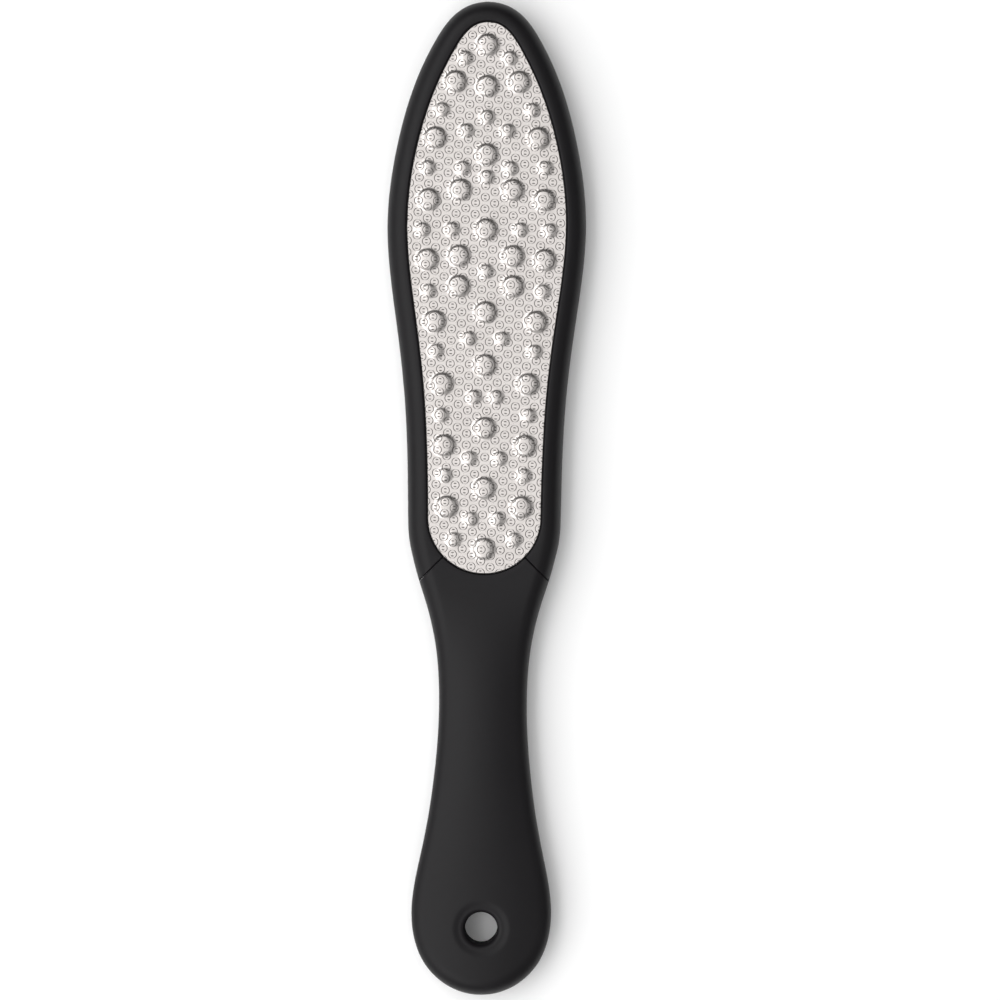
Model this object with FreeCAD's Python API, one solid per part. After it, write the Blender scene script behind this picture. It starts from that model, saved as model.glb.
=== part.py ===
import FreeCAD, Part
import math
import os

# A double-sided foot file: a flat, leaf-shaped head that holds a steel file plate on each
# face, and a waisted two-shell handle with a hang hole. All sizes are in millimetres.
# The tip of the head points along +Y, the front face up along +Z, and the origin is
# the bottom centre of the whole tool.

# Overall sizes: the head ends where the file plate ends, and the handle starts there
head_length = 149.6
handle_length = 110.4
body_thickness = 12.0
head_half_width = 26.0
shoulder_half_width = 20.0
waist_half_width = 11.5
butt_half_width = 18.3

# Stations along the tool
widest_from_tip = 60.0
waist_from_head = 33.4
butt_from_end = 21.0

# Rounding of the body: the outer edges, and the crown across the handle
edge_round = 4.4
side_band = 1.6
round_steps = 3
flat_inset = 10.0
waist_crown_radius = 29.0
butt_crown_radius = 70.0

# Rim and recess of the head: the rim widens between two distances from the tip
rim_width = 5.3
tip_rim_extra = 0.5
tip_rim_near = 12.0
tip_rim_far = 38.0
plate_gap = 0.35
front_plate_drop = 0.2
rear_plate_drop = 0.0

# File plates and the adhesive sheets under them
plate_thickness = 0.5
pad_thickness = 0.3
pad_margin = 0.6
large_dome_radius = 2.8
large_dome_height = 0.95
small_dome_radius = 1.85
small_dome_height = 0.6
dome_sides = 10

# Web and ribs of the head frame
ledge_width = 3.2
web_thickness = 2.0
rib_thickness = 1.6
cross_rib_count = 6

# Tang that runs from the head frame into the handle
tang_root_half_width = 8.0
tang_end_half_width = 5.0
tang_thickness = 4.0
tang_length = 36.0
tang_clearance = 0.15

# Handle shells
shell_wall = 2.2
shell_floor = 2.4
shell_corner_inset = 4.2
seam_gap = 0.15
shell_rib_thickness = 1.2
shell_rib_count = 4
shell_rib_relief = 0.3
boss_radius = 3.6
peg_radius = 1.8
peg_clearance = 0.1
peg_end_gap = 0.3
socket_floor = 1.3
tang_peg_spacing = 15.0
grip_peg_count = 2

# Hang hole
hang_hole_radius = 4.25
hang_hole_from_end = 17.7
hang_hole_bevel = 1.0
dish_radius = 7.6
dish_depth = 0.35

# One overrun serves all cuts
overrun = 3.0

# Shares of the way along each stretch of the outline, and of its change in half width
tip_outline_shares = ((0.027, 0.242), (0.078, 0.386), (0.167, 0.527), (0.340, 0.717), (0.603, 0.895))
taper_outline_shares = ((0.17, 0.84), (0.38, 0.48), (0.59, 0.19), (0.80, 0.05))
neck_outline_shares = ((0.12, 0.04), (0.23, 0.17), (0.34, 0.34), (0.45, 0.54), (0.67, 0.85))
grip_outline_shares = ((0.19, 0.05), (0.37, 0.19), (0.56, 0.41), (0.75, 0.72))
butt_outline_shares = ((0.33, 0.05), (0.57, 0.16), (0.82, 0.41), (0.95, 0.675))

# The plate's side leaves the outline this share of its end radius above its end arc
straight_end_share = 0.25

# Points by which a curve runs on past its mirror lines
run_on_count = 5

# Shares of a dome's radius at which its tiers lie
dome_tier_shares = (0.72, 0.36)

# Places of the domes on the front plate: shares of its length from the tip and of its
# half width. Each place off the middle line has a twin on the other side.
large_dome_shares = (
    (0.042, 0.00), (0.109, 0.40), (0.117, 0.00), (0.211, 0.65), (0.241, 0.00), (0.305, 0.33),
    (0.323, 0.73), (0.377, 0.00), (0.425, 0.34), (0.432, 0.74), (0.480, 0.34), (0.527, 0.00),
    (0.544, 0.64), (0.623, 0.00), (0.657, 0.54), (0.737, 0.00), (0.769, 0.51), (0.846, 0.00),
    (0.880, 0.47), (0.956, 0.00),
)
small_dome_shares = (
    (0.066, 0.28), (0.160, 0.57), (0.173, 0.00), (0.198, 0.26), (0.265, 0.74), (0.266, 0.30),
    (0.282, 0.00), (0.377, 0.43), (0.378, 0.80), (0.453, 0.00), (0.489, 0.72), (0.575, 0.21),
    (0.598, 0.62), (0.681, 0.14), (0.714, 0.55), (0.792, 0.19), (0.823, 0.50), (0.902, 0.17),
    (0.939, 0.38),
)

# Places worked out from the sizes above
overall_length = head_length + handle_length
tip_y = overall_length / 2
butt_y = -overall_length / 2
plate_end_radius = shoulder_half_width - rim_width
arc_centre_y = tip_y - head_length + plate_end_radius
waist_y = tip_y - head_length - waist_from_head
butt_widest_y = butt_y + butt_from_end
middle_z = body_thickness / 2
plate_tip_y = tip_y - rim_width - tip_rim_extra
plate_half_width = head_half_width - rim_width
recess_inset = rim_width - plate_gap
recess_end_radius = shoulder_half_width - recess_inset
plate_length = plate_tip_y - (arc_centre_y - plate_end_radius)
front_recess_depth = front_plate_drop + plate_thickness + pad_thickness
rear_recess_depth = rear_plate_drop + plate_thickness + pad_thickness
front_floor_z = body_thickness - front_recess_depth
rear_floor_z = rear_recess_depth
head_end_y = arc_centre_y - recess_end_radius + seam_gap
tang_end_y = head_end_y - tang_length
hole_y = butt_y + hang_hole_from_end


def point(x, y, z=0):
    return FreeCAD.Vector(x, y, z)


def mirrored(shape):
    """The twin of a shape on the other side of the tool's middle plane."""
    return shape.mirror(point(0, 0), point(1, 0))


def flat_facet(corners):
    """Flat face between corners."""
    return Part.Face(Part.makePolygon(corners + corners[:1]))


def stretch(start, end, shares):
    """Outline points between two stations."""
    return [
        point(start.x + (end.x - start.x) * across, start.y + (end.y - start.y) * along)
        for along, across in shares
    ]


def outline_points():
    """Points down the right side of the body, from the tip to the end of the butt."""
    tip = point(0, tip_y)
    widest = point(head_half_width, tip_y - widest_from_tip)
    shoulder = point(shoulder_half_width, arc_centre_y)
    waist = point(waist_half_width, waist_y)
    butt = point(butt_half_width, butt_widest_y)
    end = point(0, butt_y)
    taper_shares = [(along, 1 - across) for along, across in taper_outline_shares]
    points = [tip] + stretch(tip, widest, tip_outline_shares)
    points += [widest] + stretch(widest, shoulder, taper_shares)
    points += [shoulder] + stretch(shoulder, waist, neck_outline_shares)
    points += [waist] + stretch(waist, butt, grip_outline_shares)
    points += [butt] + stretch(butt, end, butt_outline_shares) + [end]
    return points


def across_axis(place):
    """The twin of a place on the other side of the middle line."""
    return point(-place.x, place.y, place.z)


def run_on(points, flip_start, flip_end):
    """Points that go on past both ends as the mirror image of the stretch beside each end."""
    before = [flip_start(place) for place in reversed(points[1:run_on_count + 1])]
    after = [flip_end(place) for place in reversed(points[-run_on_count - 1:-1])]
    return before + points + after


def smooth_curve(points, flip_start, flip_end):
    """Curve through points that starts and ends square to its mirror lines."""
    curve = Part.BSplineCurve()
    curve.interpolate(Points=run_on(points, flip_start, flip_end))
    return curve


def side_curve(points):
    """Curve down the right side, square to the middle line at the tip and the butt."""
    return smooth_curve(points, across_axis, across_axis)


def inward_directions():
    """Direction into the body, square to the outline, at each of its points."""
    points = outline_points()
    curve = side_curve(points)
    directions = [point(0, -1)]
    for place in points[1:-1]:
        along = curve.tangent(curve.parameter(place))[0]
        directions.append(point(along.y, -along.x))
    directions.append(point(0, 1))
    return directions


def inset_points(inset):
    """The outline's points, moved square to the outline into the body."""
    pairs = zip(outline_points(), inward_directions())
    return [place + inward * inset for place, inward in pairs]


def side_edge(inset):
    """Right side of the body outline, from tip to butt, moved in by the inset."""
    points = inset_points(inset)
    curve = side_curve(points)
    return curve.toShape(curve.parameter(points[0]), curve.parameter(points[-1]))


def body_outline(inset):
    """Closed outline of the whole body."""
    side = side_edge(inset)
    return Part.Wire([side, mirrored(side)])


def across_shoulder(place):
    """The twin of a place on the other side of the line through the plate's end arc."""
    return point(place.x, 2 * arc_centre_y - place.y)


def tip_margin(place):
    """Extra width of the rim at a place of the head."""
    from_tip = tip_y - place.y
    return tip_rim_extra * smooth_step((tip_rim_far - from_tip) / (tip_rim_far - tip_rim_near))


def head_points(inset):
    """The inset points of the body, moved in further where the rim widens."""
    pairs = zip(inset_points(inset), inward_directions())
    return [place + inward * tip_margin(place) for place, inward in pairs]


def head_side(inset):
    """Right side of the head, from the tip down to the shoulder, moved in by the inset."""
    end_radius = shoulder_half_width - inset
    end_y = arc_centre_y + end_radius * straight_end_share
    points = [place for place in head_points(inset) if place.y > end_y]
    points.append(point(end_radius, arc_centre_y))
    curve = smooth_curve(points, across_axis, across_shoulder)
    return curve.toShape(curve.parameter(points[0]), curve.parameter(points[-1]))


def plate_outline(inset):
    """Outline of the plate: it follows the head and ends in a half circle."""
    end_radius = shoulder_half_width - inset
    side = head_side(inset)
    end = Part.Arc(
        point(end_radius, arc_centre_y),
        point(0, arc_centre_y - end_radius),
        point(-end_radius, arc_centre_y),
    ).toShape()
    return Part.Wire([side, end, mirrored(side)])


def lifted(outline, z):
    """A copy of a flat outline at a height."""
    copy = outline.copy()
    copy.translate(point(0, 0, z))
    return copy


def slab(outline, low_z, high_z):
    """Flat solid of an outline between two heights."""
    return Part.makeLoft([lifted(outline, low_z), lifted(outline, high_z)], True, True)


def block(half_width, low_y, high_y, low_z, high_z):
    """Box that is centred across the tool."""
    return Part.makeBox(
        2 * half_width, high_y - low_y, high_z - low_z, point(-half_width, low_y, low_z)
    )


def smooth_step(share):
    """Share that leaves 0 and reaches 1 without a kink, and stays there beyond."""
    share = min(max(share, 0), 1)
    return share * share * (3 - 2 * share)


def crown_curvature(y):
    """Curvature across the handle: none at the seam, most at the waist."""
    rise = smooth_step((head_end_y - y) / (head_end_y - waist_y))
    ease = smooth_step((waist_y - y) / (waist_y - butt_widest_y))
    return rise * ((1 - ease) / waist_crown_radius + ease / butt_crown_radius)


def on_crown(place):
    """A place lifted onto the front face, which is flat on the head and crowned on the handle."""
    drop = crown_curvature(place.y) * place.x ** 2 / 2
    return point(place.x, place.y, body_thickness - drop)


def round_points(share):
    """Points on the edge's round, from the front face at share 0 to the side band at share 1."""
    side_z = middle_z + side_band / 2
    points = []
    for place, inward in zip(outline_points(), inward_directions()):
        slope = math.atan(crown_curvature(place.y) * place.x * abs(inward.x))
        angle = slope + (math.pi / 2 - slope) * share
        start = on_crown(place + inward * edge_round * (1 - math.sin(slope)))
        spot = place + inward * edge_round * (1 - math.sin(angle))
        left = math.cos(angle) / math.cos(slope)
        points.append(point(spot.x, spot.y, side_z + (start.z - side_z) * left))
    return points


def ring(points):
    """Closed ring through points down the right side and their twins on the left.

    All rings share the spacing of the outline, so that their points stay side by side.
    """
    guide = run_on(outline_points(), across_axis, across_axis)
    along = [0]
    for first, second in zip(guide, guide[1:]):
        along.append(along[-1] + first.distanceToPoint(second))
    curve = Part.BSplineCurve()
    curve.interpolate(Points=run_on(points, across_axis, across_axis), Parameters=along)
    side = curve.toShape(along[run_on_count], along[-run_on_count - 1])
    return Part.Wire([side, mirrored(side)])


def rounded_body():
    """The body's outer form: rounded edges, a flat head and a crowned handle."""
    flat = [point(place.x, place.y, body_thickness) for place in inset_points(flat_inset)]
    crown = [on_crown(place) for place in inset_points((flat_inset + edge_round) / 2)]
    front = [flat, crown] + [round_points(step / round_steps) for step in range(round_steps + 1)]
    rear = [[point(place.x, place.y, body_thickness - place.z) for place in row] for row in front]
    rings = [ring(row) for row in rear + front[::-1]]
    return Part.makeLoft(rings, True, True)


def shell_core():
    """Hollow of the closed handle: flat floors, side walls and slanted corners."""
    levels = (
        (shell_corner_inset, shell_floor),
        (shell_wall, shell_floor + shell_corner_inset - shell_wall),
    )
    wires = []
    for inset, low_z in levels:
        wires.append(lifted(body_outline(inset), low_z))
    for inset, low_z in reversed(levels):
        wires.append(lifted(body_outline(inset), body_thickness - low_z))
    return Part.makeLoft(wires, True, True)


def recess(low_z, high_z):
    """Space that is cut into one face of the head for its plate."""
    return slab(plate_outline(recess_inset), low_z, high_z)


def hole_profile_cut(direction):
    """Half of the hang hole: bore, bevelled mouth and shallow dish around it."""
    face_z = middle_z + direction * middle_z
    mouth_z = face_z - direction * dish_depth
    beyond_z = face_z + direction * overrun
    profile = [
        point(0, 0, middle_z),
        point(hang_hole_radius, 0, middle_z),
        point(hang_hole_radius, 0, mouth_z - direction * hang_hole_bevel),
        point(hang_hole_radius + hang_hole_bevel, 0, mouth_z),
        point(dish_radius, 0, face_z),
        point(dish_radius, 0, beyond_z),
        point(0, 0, beyond_z),
    ]
    cut = flat_facet(profile).revolve(point(0, 0), point(0, 0, 1), 360)
    cut.translate(point(0, hole_y))
    return cut


def handle_zone(clearance):
    """Everything below the slanted seams and the end of the plate, seen in plan.

    The seams run at 45 degrees out of the centre of the plate's end arc. The clearance
    moves them, and the arc, towards the head.
    """
    radius = recess_end_radius - clearance
    lift = clearance * math.sqrt(2)
    start_x = (lift + math.sqrt(2 * radius ** 2 - lift ** 2)) / 2
    start = point(start_x, arc_centre_y + lift - start_x)
    far = start + point(overall_length, -overall_length)
    corner = point(far.x, far.y - overall_length)
    corners = [start, far, corner, across_axis(corner), across_axis(far), across_axis(start)]
    lines = [Part.makeLine(first, second) for first, second in zip(corners, corners[1:])]
    end_arc = Part.Arc(across_axis(start), point(0, arc_centre_y - radius), start).toShape()
    return slab(Part.Wire([end_arc] + lines), -overrun, body_thickness + overrun)


def tang_outline(clearance):
    """Tapered tang with a round end, from inside the ledge of the head frame."""
    root_y = head_end_y + ledge_width / 2
    root = tang_root_half_width + clearance
    end = tang_end_half_width + clearance
    end_centre_y = tang_end_y + tang_end_half_width
    return Part.Wire([
        Part.makeLine(point(-root, root_y), point(root, root_y)),
        Part.makeLine(point(root, root_y), point(end, end_centre_y)),
        Part.Arc(
            point(end, end_centre_y), point(0, end_centre_y - end), point(-end, end_centre_y)
        ).toShape(),
        Part.makeLine(point(-end, end_centre_y), point(-root, root_y)),
    ])


def tang(clearance):
    """The tang, or the space that the shells leave for it."""
    half = tang_thickness / 2 + clearance
    return slab(tang_outline(clearance), middle_z - half, middle_z + half)


def even_places(first, last, count):
    """Places that divide a length into equal bays, without its two ends."""
    bay = (last - first) / (count + 1)
    return [first + bay * index for index in range(1, count + 1)]


def tang_peg_places():
    """Places along the handle where pegs pass through the tang."""
    last = tang_end_y + tang_end_half_width
    return [last + tang_peg_spacing, last]


def grip_peg_places():
    """Places along the handle where pegs join shell to shell, between tang and hang hole."""
    return even_places(tang_end_y, hole_y + dish_radius, grip_peg_count)


def peg_places():
    """Places of all the pegs along the handle."""
    return tang_peg_places() + grip_peg_places()


def rod(radius, y, low_z, high_z):
    """Upright cylinder on the middle line of the handle."""
    return Part.makeCylinder(radius, high_z - low_z, point(0, y, low_z))


def cross_ribs(first, last, count, thickness, low_z, high_z):
    """Ribs across the tool, evenly spaced between two places."""
    half = thickness / 2
    places = even_places(first, last, count)
    return [block(head_half_width, y - half, y + half, low_z, high_z) for y in places]


def pockets():
    """Hollows of the head behind both plates, between the ribs and on both sides of the web."""
    inset = rim_width + ledge_width
    space = slab(plate_outline(inset), -overrun, body_thickness + overrun)
    low_y = arc_centre_y - shoulder_half_width + inset
    high_y = tip_y - inset
    walls = cross_ribs(low_y, high_y, cross_rib_count, rib_thickness, 0, body_thickness)
    walls.append(block(rib_thickness / 2, low_y, high_y, 0, body_thickness))
    half_web = web_thickness / 2
    walls.append(block(head_half_width, low_y, high_y, middle_z - half_web, middle_z + half_web))
    return space.cut(walls)


def recessed_body():
    """The whole rounded body with its two plate recesses."""
    body = rounded_body()
    front = recess(front_floor_z, body_thickness + overrun)
    rear = recess(-overrun, rear_floor_z)
    return body.cut([front, rear])


def head_frame(body):
    """One moulding: rim, ledges, web with ribs, and the tang with its peg holes."""
    frame = body.cut(handle_zone(seam_gap)).cut(pockets())
    frame = frame.fuse(tang(0)).removeSplitter()
    holes = [
        rod(peg_radius + peg_clearance, y, 0, body_thickness) for y in tang_peg_places()
    ]
    return frame.cut(holes)


def tier(place, radius, z):
    """Corners of one tier of a dome."""
    angles = [2 * math.pi * index / dome_sides for index in range(dome_sides)]
    return [place + point(radius * math.cos(angle), radius * math.sin(angle), z) for angle in angles]


def dome(place, radius, height):
    """Pressed dome on the plate's face, in tiers that follow a ball's surface."""
    ball_radius = (radius ** 2 + height ** 2) / (2 * height)
    face_z = body_thickness - front_plate_drop
    tiers = [tier(place, radius, face_z - plate_thickness / 2), tier(place, radius, face_z)]
    for share in dome_tier_shares:
        tier_radius = radius * share
        rise = math.sqrt(ball_radius ** 2 - tier_radius ** 2) - ball_radius + height
        tiers.append(tier(place, tier_radius, face_z + rise))
    facets = [flat_facet(tiers[0]), flat_facet(tiers[-1])]
    for low, high in zip(tiers, tiers[1:]):
        for index in range(dome_sides):
            facets.append(flat_facet([low[index - 1], low[index], high[index], high[index - 1]]))
    return Part.Solid(Part.makeShell(facets))


def dome_places(shares):
    """Places of the domes, with a twin for each one off the middle line."""
    places = []
    for along, across in shares:
        x = plate_half_width * across
        y = plate_tip_y - plate_length * along
        places.append(point(x, y))
        if across > 0:
            places.append(point(-x, y))
    return places


def front_file_plate():
    """Thin steel sheet with large and small domes pressed out of it."""
    top_z = body_thickness - front_plate_drop
    sheet = slab(plate_outline(rim_width), top_z - plate_thickness, top_z)
    caps = []
    for place in dome_places(large_dome_shares):
        caps.append(dome(place, large_dome_radius, large_dome_height))
    for place in dome_places(small_dome_shares):
        caps.append(dome(place, small_dome_radius, small_dome_height))
    return sheet.fuse(caps)


def rear_file_plate():
    """Flat steel sheet of the fine side."""
    return slab(plate_outline(rim_width), rear_plate_drop, rear_plate_drop + plate_thickness)


def adhesive_pad(low_z):
    """Double-sided sheet that bonds a plate to the ledge and the ribs."""
    return slab(plate_outline(rim_width + pad_margin), low_z, low_z + pad_thickness)


def handle_half(front):
    """Block that holds one half of the handle, split at the middle of its thickness."""
    low_z, high_z = (middle_z, body_thickness + overrun) if front else (-overrun, middle_z)
    return block(overall_length, butt_y - overrun, tip_y, low_z, high_z)


def shell_filling(core, front):
    """What stands inside a shell: cross ribs, the hang hole's tube and a boss for each peg."""
    low_z, high_z = (middle_z, body_thickness) if front else (0, middle_z)
    relief = shell_rib_relief
    rib_low, rib_high = (low_z + relief, high_z) if front else (low_z, high_z - relief)
    first = hole_y + dish_radius
    inner = cross_ribs(first, head_end_y, shell_rib_count, shell_rib_thickness, rib_low, rib_high)
    inner.append(rod(hang_hole_radius + shell_wall, hole_y, low_z, high_z))
    inner += [rod(boss_radius, y, low_z, high_z) for y in peg_places()]
    return inner[0].fuse(inner[1:]).common(core)


def handle_shell(body, core, front):
    """Half of the handle: a thin wall with ribs, bosses and pegs or their sockets."""
    skin = body.common(handle_zone(0)).common(handle_half(front)).cut(core)
    shell = skin.fuse(shell_filling(core, front)).cut(tang(tang_clearance))
    if front:
        root_z = middle_z + tang_thickness / 2 + tang_clearance
        low_z = socket_floor + peg_end_gap
        shell = shell.fuse([rod(peg_radius, y, low_z, root_z) for y in peg_places()])
    else:
        radius = peg_radius + peg_clearance
        shell = shell.cut([rod(radius, y, socket_floor, middle_z) for y in peg_places()])
    return shell.cut(hole_profile_cut(1 if front else -1)).removeSplitter()


def save(name, shape):
    """Writes one piece, which is a single solid."""
    shape.Solids[0].exportStep(os.path.join("parts", name + ".step"))


def main():
    os.makedirs("parts", exist_ok=True)
    body = recessed_body()
    core = shell_core().common(handle_zone(-shell_wall))
    save("head_frame", head_frame(body))
    save("front_file_plate", front_file_plate())
    save("rear_file_plate", rear_file_plate())
    save("front_adhesive_pad", adhesive_pad(front_floor_z))
    save("rear_adhesive_pad", adhesive_pad(rear_floor_z - pad_thickness))
    save("handle_front_shell", handle_shell(body, core, True))
    save("handle_rear_shell", handle_shell(body, core, False))


main()
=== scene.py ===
import logging
import math
from dataclasses import dataclass, field
from enum import Enum
from typing import Callable, Optional, Sequence, Union

import bpy
import numpy as np
from mathutils import Matrix, Vector
from mathutils.geometry import delaunay_2d_cdt
from mathutils.kdtree import KDTree


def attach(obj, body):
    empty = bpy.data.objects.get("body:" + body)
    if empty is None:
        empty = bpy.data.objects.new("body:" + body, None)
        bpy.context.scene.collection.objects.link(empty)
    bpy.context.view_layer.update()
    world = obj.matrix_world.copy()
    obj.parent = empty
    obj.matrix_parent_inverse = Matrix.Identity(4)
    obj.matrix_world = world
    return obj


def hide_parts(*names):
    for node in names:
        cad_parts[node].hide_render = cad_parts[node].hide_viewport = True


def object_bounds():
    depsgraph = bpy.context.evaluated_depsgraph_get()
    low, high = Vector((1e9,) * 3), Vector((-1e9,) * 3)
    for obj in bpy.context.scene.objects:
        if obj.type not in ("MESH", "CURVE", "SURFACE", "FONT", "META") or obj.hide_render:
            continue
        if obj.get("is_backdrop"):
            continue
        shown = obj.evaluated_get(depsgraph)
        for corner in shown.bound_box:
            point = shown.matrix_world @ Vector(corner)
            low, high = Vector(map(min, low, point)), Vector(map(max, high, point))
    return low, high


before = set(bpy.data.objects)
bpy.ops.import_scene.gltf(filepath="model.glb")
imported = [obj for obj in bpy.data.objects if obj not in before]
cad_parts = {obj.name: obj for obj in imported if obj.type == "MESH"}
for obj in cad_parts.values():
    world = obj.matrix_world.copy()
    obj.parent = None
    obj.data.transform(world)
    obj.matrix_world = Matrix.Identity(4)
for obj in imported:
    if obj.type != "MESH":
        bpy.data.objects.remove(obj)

# The looks of a two-sided foot file. Plan shapes are worked out in millimetres, in the
# frame of the solids: +Y towards the tip, +Z out of the domed plate, origin at the
# bottom centre. Meshes are made in metres.

log = logging.getLogger("foot_file")

MM = 0.001
ETCH = "etch"
BARE = "bare"
TESTED_AT_ONCE = 2000
LIP_ROWS = 5
# First and last distance of a seam's points from the middle line, and their step
SEAM_REACH = (8.0, 24.0, 0.4)
Share = tuple[float, float]


class Face(Enum):
    """The side of the tool that a piece belongs to."""

    FRONT = "front"
    REAR = "rear"


class Dome(Enum):
    """The two sizes of dome on the coarse plate, as radius of the flank and height."""

    LARGE = (2.6, 0.84)
    SMALL = (1.65, 0.66)


def smooth_step(share: np.ndarray) -> np.ndarray:
    """Share that leaves 0 and reaches 1 without a kink, and stays there beyond."""
    share = np.clip(share, 0.0, 1.0)
    return share * share * (3.0 - 2.0 * share)


def flip_across(points: np.ndarray) -> np.ndarray:
    """Points on the other side of the tool's middle line."""
    return points * np.array([-1.0, 1.0])


def closed_loop(side: np.ndarray) -> np.ndarray:
    """Closed loop from a right side that starts and ends on the middle line."""
    return np.vstack([side, flip_across(side[1:-1])[::-1]])


def circle(centre: np.ndarray, radius: float, count: int) -> np.ndarray:
    """Evenly spaced points of a circle."""
    angles = np.arange(count) * math.tau / count
    return centre + radius * np.column_stack([np.cos(angles), np.sin(angles)])


def between(start: np.ndarray, end: np.ndarray, count: int) -> np.ndarray:
    """Evenly spaced points on a straight run, counted with its ends but without them."""
    return start + (end - start) * np.linspace(0.0, 1.0, count)[1:-1, None]


def inside(points: np.ndarray, loops: Sequence[np.ndarray]) -> np.ndarray:
    """Which points lie inside an area with holes.

    Args:
        points: places to test, shape (n, 2).
        loops: the area's outer loop and its holes.

    Returns:
        One flag for each point.
    """
    flags = np.zeros(len(points), bool)
    starts = np.vstack(loops)
    ends = np.vstack([np.roll(loop, -1, axis=0) for loop in loops])
    level = starts[:, 1] == ends[:, 1]
    (ax, ay), (bx, by) = starts[~level].T, ends[~level].T
    slope = (bx - ax) / (by - ay)
    for some in np.array_split(np.arange(len(points)), 1 + len(points) // TESTED_AT_ONCE):
        x, y = points[some, 0][:, None], points[some, 1][:, None]
        crossed = ((ay > y) != (by > y)) & (x < ax + slope * (y - ay))
        flags[some] = crossed.sum(axis=1) % 2 == 1
    return flags


class SmoothLine:
    """Curve through points in the plane, with a smooth bend all along."""

    def __init__(self, points: np.ndarray) -> None:
        """Works out the bend at each point.

        Args:
            points: points that the curve passes, shape (n, 2).
        """
        self.points = points
        steps = np.linalg.norm(np.diff(points, axis=0), axis=1)
        self.knots = np.concatenate([[0.0], np.cumsum(steps)])
        count = len(points)
        matrix = np.eye(count)
        right = np.zeros((count, 2))
        for i in range(1, count - 1):
            before, after = steps[i - 1], steps[i]
            matrix[i, i - 1:i + 2] = before, 2.0 * (before + after), after
            rise = (points[i + 1] - points[i]) / after - (points[i] - points[i - 1]) / before
            right[i] = 6.0 * rise
        self.bends = np.linalg.solve(matrix, right)

    def sample(self, first: int, last: int, count: int) -> tuple[np.ndarray, np.ndarray]:
        """Points along the curve and the directions there.

        Args:
            first: number of the point where sampling starts.
            last: number of the point where it ends.
            count: how many samples, both ends included.

        Returns:
            The places and the unit directions, both of shape (count, 2).
        """
        at = np.linspace(self.knots[first], self.knots[last], count)
        span = np.clip(np.searchsorted(self.knots, at, "right") - 1, 0, len(self.knots) - 2)
        low, high = self.knots[span], self.knots[span + 1]
        width = (high - low)[:, None]
        a, b = ((high - at) / (high - low))[:, None], ((at - low) / (high - low))[:, None]
        bend_a, bend_b = self.bends[span], self.bends[span + 1]
        start, end = self.points[span], self.points[span + 1]
        place = a * start + b * end + ((a**3 - a) * bend_a + (b**3 - b) * bend_b) * width**2 / 6.0
        slope = (end - start) / width
        slope += ((3.0 * b**2 - 1.0) * bend_b - (3.0 * a**2 - 1.0) * bend_a) * width / 6.0
        return place, slope / np.linalg.norm(slope, axis=1)[:, None]


class NearestOnLoop:
    """Distance from places to a closed loop, and the loop's point that is nearest."""

    def __init__(self, loop: np.ndarray) -> None:
        """Stores the loop's points for quick search.

        Args:
            loop: the loop's points, shape (n, 2).
        """
        self.loop = loop
        self.tree = KDTree(len(loop))
        for index, (x, y) in enumerate(loop):
            self.tree.insert((x, y, 0.0), index)
        self.tree.balance()

    def query(self, points: np.ndarray) -> tuple[np.ndarray, np.ndarray]:
        """Distance to the loop's runs and the number of the nearest point.

        Args:
            points: places to test, shape (n, 2).

        Returns:
            Distances and point numbers, both of shape (n,).
        """
        nearest = np.array([self.tree.find((x, y, 0.0))[1] for x, y in points], int)
        middle = self.loop[nearest]
        best = np.full(len(points), np.inf)
        for step in (-1, 1):
            run = self.loop[(nearest + step) % len(self.loop)] - middle
            along = np.einsum("ij,ij->i", points - middle, run) / np.einsum("ij,ij->i", run, run)
            foot = middle + run * np.clip(along, 0.0, 1.0)[:, None]
            best = np.minimum(best, np.linalg.norm(points - foot, axis=1))
        return best, nearest


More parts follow.
